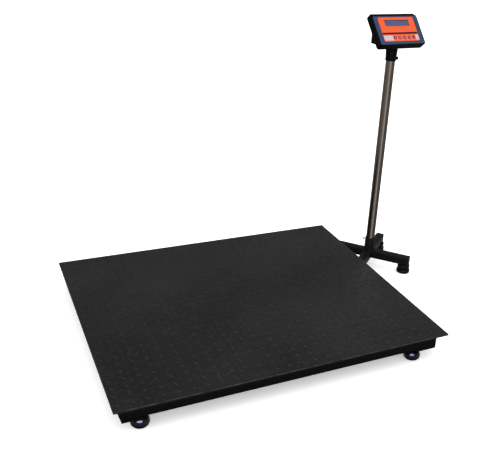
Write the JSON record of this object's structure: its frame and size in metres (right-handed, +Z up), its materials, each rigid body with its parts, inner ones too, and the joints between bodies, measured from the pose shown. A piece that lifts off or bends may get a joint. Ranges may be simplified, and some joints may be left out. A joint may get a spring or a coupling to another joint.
{
  "type": "platform shipping scale",
  "caption": "Low tread-plate weighing platform on levelling feet, with a free-standing cross base whose column carries a tilting indicator with a display and keys.",
  "frame": {"origin": "on the floor, in the middle of the whole footprint", "axes": "+Z up, +X to the right along the deck's front edge, +Y towards its rear edge"},
  "size_m": [1.4528, 1, 1.0948],
  "materials": {
    "deck_paint": "satin black paint on tread plate",
    "frame_paint": "satin black paint",
    "bare_steel": "zinc plated",
    "alloy_cell": "machined",
    "foot_chrome": "dark polished",
    "pad_rubber": "matte",
    "box_plastic": "fine texture",
    "lead_jacket": "matte",
    "board": "solder mask",
    "stand_paint": "satin black paint",
    "glide_plastic": "satin",
    "cap_plastic": "satin",
    "column_chrome": "polished",
    "screw_chrome": "polished",
    "bracket_plastic": "fine texture",
    "bezel_plastic": "satin slate blue",
    "case_plastic": "fine texture",
    "overlay": "satin orange film",
    "window": "clear",
    "display": "liquid crystal grey blue",
    "battery_wrap": "shrink wrap",
    "key_cap": "dark red"
  },
  "bodies": {
    "platform": {"deck_plate": "deck_paint", "front_rail": "frame_paint", "rear_rail": "frame_paint", "rail_end_plates": "frame_paint", "left_rail": "frame_paint", "right_rail": "frame_paint", "deck_stiffener_left": "frame_paint", "deck_stiffener_right": "frame_paint", "load_cells": "alloy_cell", "cell_spacer_plates": "frame_paint", "load_cell_bolts": "bare_steel", "foot_lock_nuts": "bare_steel", "junction_box_base": "box_plastic", "junction_box_lid": "box_plastic", "junction_box_screws": "bare_steel", "summing_board": "board", "cable_glands": "cap_plastic", "load_cell_leads": "lead_jacket"},
    "foot_front_left": {"foot_cup_front_left": "foot_chrome", "foot_pad_front_left": "pad_rubber", "foot_stud_front_left": "bare_steel"},
    "foot_front_right": {"foot_cup_front_right": "foot_chrome", "foot_pad_front_right": "pad_rubber", "foot_stud_front_right": "bare_steel"},
    "foot_rear_left": {"foot_cup_rear_left": "foot_chrome", "foot_pad_rear_left": "pad_rubber", "foot_stud_rear_left": "bare_steel"},
    "foot_rear_right": {"foot_cup_rear_right": "foot_chrome", "foot_pad_rear_right": "pad_rubber", "foot_stud_rear_right": "bare_steel"},
    "stand": {"cross_long_tube": "stand_paint", "cross_short_tube_right": "stand_paint", "cross_short_tube_left": "stand_paint", "cross_end_caps": "cap_plastic", "glide_nuts": "bare_steel", "column_socket": "stand_paint"},
    "glide_front_left": {"stand_glide_front_left": "glide_plastic"},
    "glide_front_right": {"stand_glide_front_right": "glide_plastic"},
    "glide_rear_left": {"stand_glide_rear_left": "glide_plastic"},
    "glide_rear_right": {"stand_glide_rear_right": "glide_plastic"},
    "wing_screw": {"wing_screw": "screw_chrome"},
    "column": {"column_tube": "column_chrome"},
    "head_bracket": {"head_bracket": "bracket_plastic"},
    "clamp_knob": {"clamp_knob": "bracket_plastic"},
    "indicator": {"tilt_yoke": "bracket_plastic", "tilt_bolt": "bare_steel", "front_case": "bezel_plastic", "rear_case": "case_plastic", "rear_sockets": "bare_steel", "overlay_panel": "overlay", "display_window": "window", "display_module": "display", "main_board": "board", "battery_pack": "battery_wrap", "case_screws": "bare_steel"},
    "key_1": {"key_1": "key_cap"},
    "key_2": {"key_2": "key_cap"},
    "key_3": {"key_3": "key_cap"},
    "key_4": {"key_4": "key_cap"},
    "key_5": {"key_5": "key_cap"}
  },
  "joints": [
    {"name": "foot_front_left_height", "type": "slide", "parent": "platform", "child": "foot_front_left", "axis": [0, 0, -1], "range_m": [0, 0.01]},
    {"name": "foot_front_right_height", "type": "slide", "parent": "platform", "child": "foot_front_right", "axis": [0, 0, -1], "range_m": [0, 0.01]},
    {"name": "foot_rear_left_height", "type": "slide", "parent": "platform", "child": "foot_rear_left", "axis": [0, 0, -1], "range_m": [0, 0.01]},
    {"name": "foot_rear_right_height", "type": "slide", "parent": "platform", "child": "foot_rear_right", "axis": [0, 0, -1], "range_m": [0, 0.01]},
    {"name": "stand_distance", "type": "slide", "parent": "platform", "child": "stand", "axis": [1, 0, 0], "range_m": [0, 0.4]},
    {"name": "glide_front_left_height", "type": "slide", "parent": "stand", "child": "glide_front_left", "axis": [0, 0, -1], "range_m": [0, 0.008]},
    {"name": "glide_front_right_height", "type": "slide", "parent": "stand", "child": "glide_front_right", "axis": [0, 0, -1], "range_m": [0, 0.008]},
    {"name": "glide_rear_left_height", "type": "slide", "parent": "stand", "child": "glide_rear_left", "axis": [0, 0, -1], "range_m": [0, 0.008]},
    {"name": "glide_rear_right_height", "type": "slide", "parent": "stand", "child": "glide_rear_right", "axis": [0, 0, -1], "range_m": [0, 0.008]},
    {"name": "wing_screw_turn", "type": "hinge", "parent": "stand", "child": "wing_screw", "pos_m": [0.5756, 0.231, 0.1245], "axis": [-0.9063, 0.4226, 0], "continuous": true},
    {"name": "column_height", "type": "slide", "parent": "stand", "child": "column", "axis": [0, 0, 1], "range_m": [0, 0.04]},
    {"name": "head_swivel", "type": "hinge", "parent": "column", "child": "head_bracket", "pos_m": [0.5756, 0.231, 0.917], "axis": [0, 0, 1], "range_deg": [-180, 180]},
    {"name": "clamp_knob_turn", "type": "hinge", "parent": "head_bracket", "child": "clamp_knob", "pos_m": [0.5756, 0.231, 0.925], "axis": [0.9977, 0.068, 0], "continuous": true},
    {"name": "indicator_tilt", "type": "hinge", "parent": "head_bracket", "child": "indicator", "pos_m": [0.5756, 0.231, 0.979], "axis": [0.9977, 0.068, 0], "range_deg": [-20, 35]},
    {"name": "key_1_press", "type": "slide", "parent": "indicator", "child": "key_1", "axis": [-0.0518, 0.7598, -0.6481], "range_m": [0, 0.0008], "stiffness_N_per_m": 1500, "springref_m": -0.0005},
    {"name": "key_2_press", "type": "slide", "parent": "indicator", "child": "key_2", "axis": [-0.0518, 0.7598, -0.6481], "range_m": [0, 0.0008], "stiffness_N_per_m": 1500, "springref_m": -0.0005},
    {"name": "key_3_press", "type": "slide", "parent": "indicator", "child": "key_3", "axis": [-0.0518, 0.7598, -0.6481], "range_m": [0, 0.0008], "stiffness_N_per_m": 1500, "springref_m": -0.0005},
    {"name": "key_4_press", "type": "slide", "parent": "indicator", "child": "key_4", "axis": [-0.0518, 0.7598, -0.6481], "range_m": [0, 0.0008], "stiffness_N_per_m": 1500, "springref_m": -0.0005},
    {"name": "key_5_press", "type": "slide", "parent": "indicator", "child": "key_5", "axis": [-0.0518, 0.7598, -0.6481], "range_m": [0, 0.0008], "stiffness_N_per_m": 1500, "springref_m": -0.0005}
  ]
}
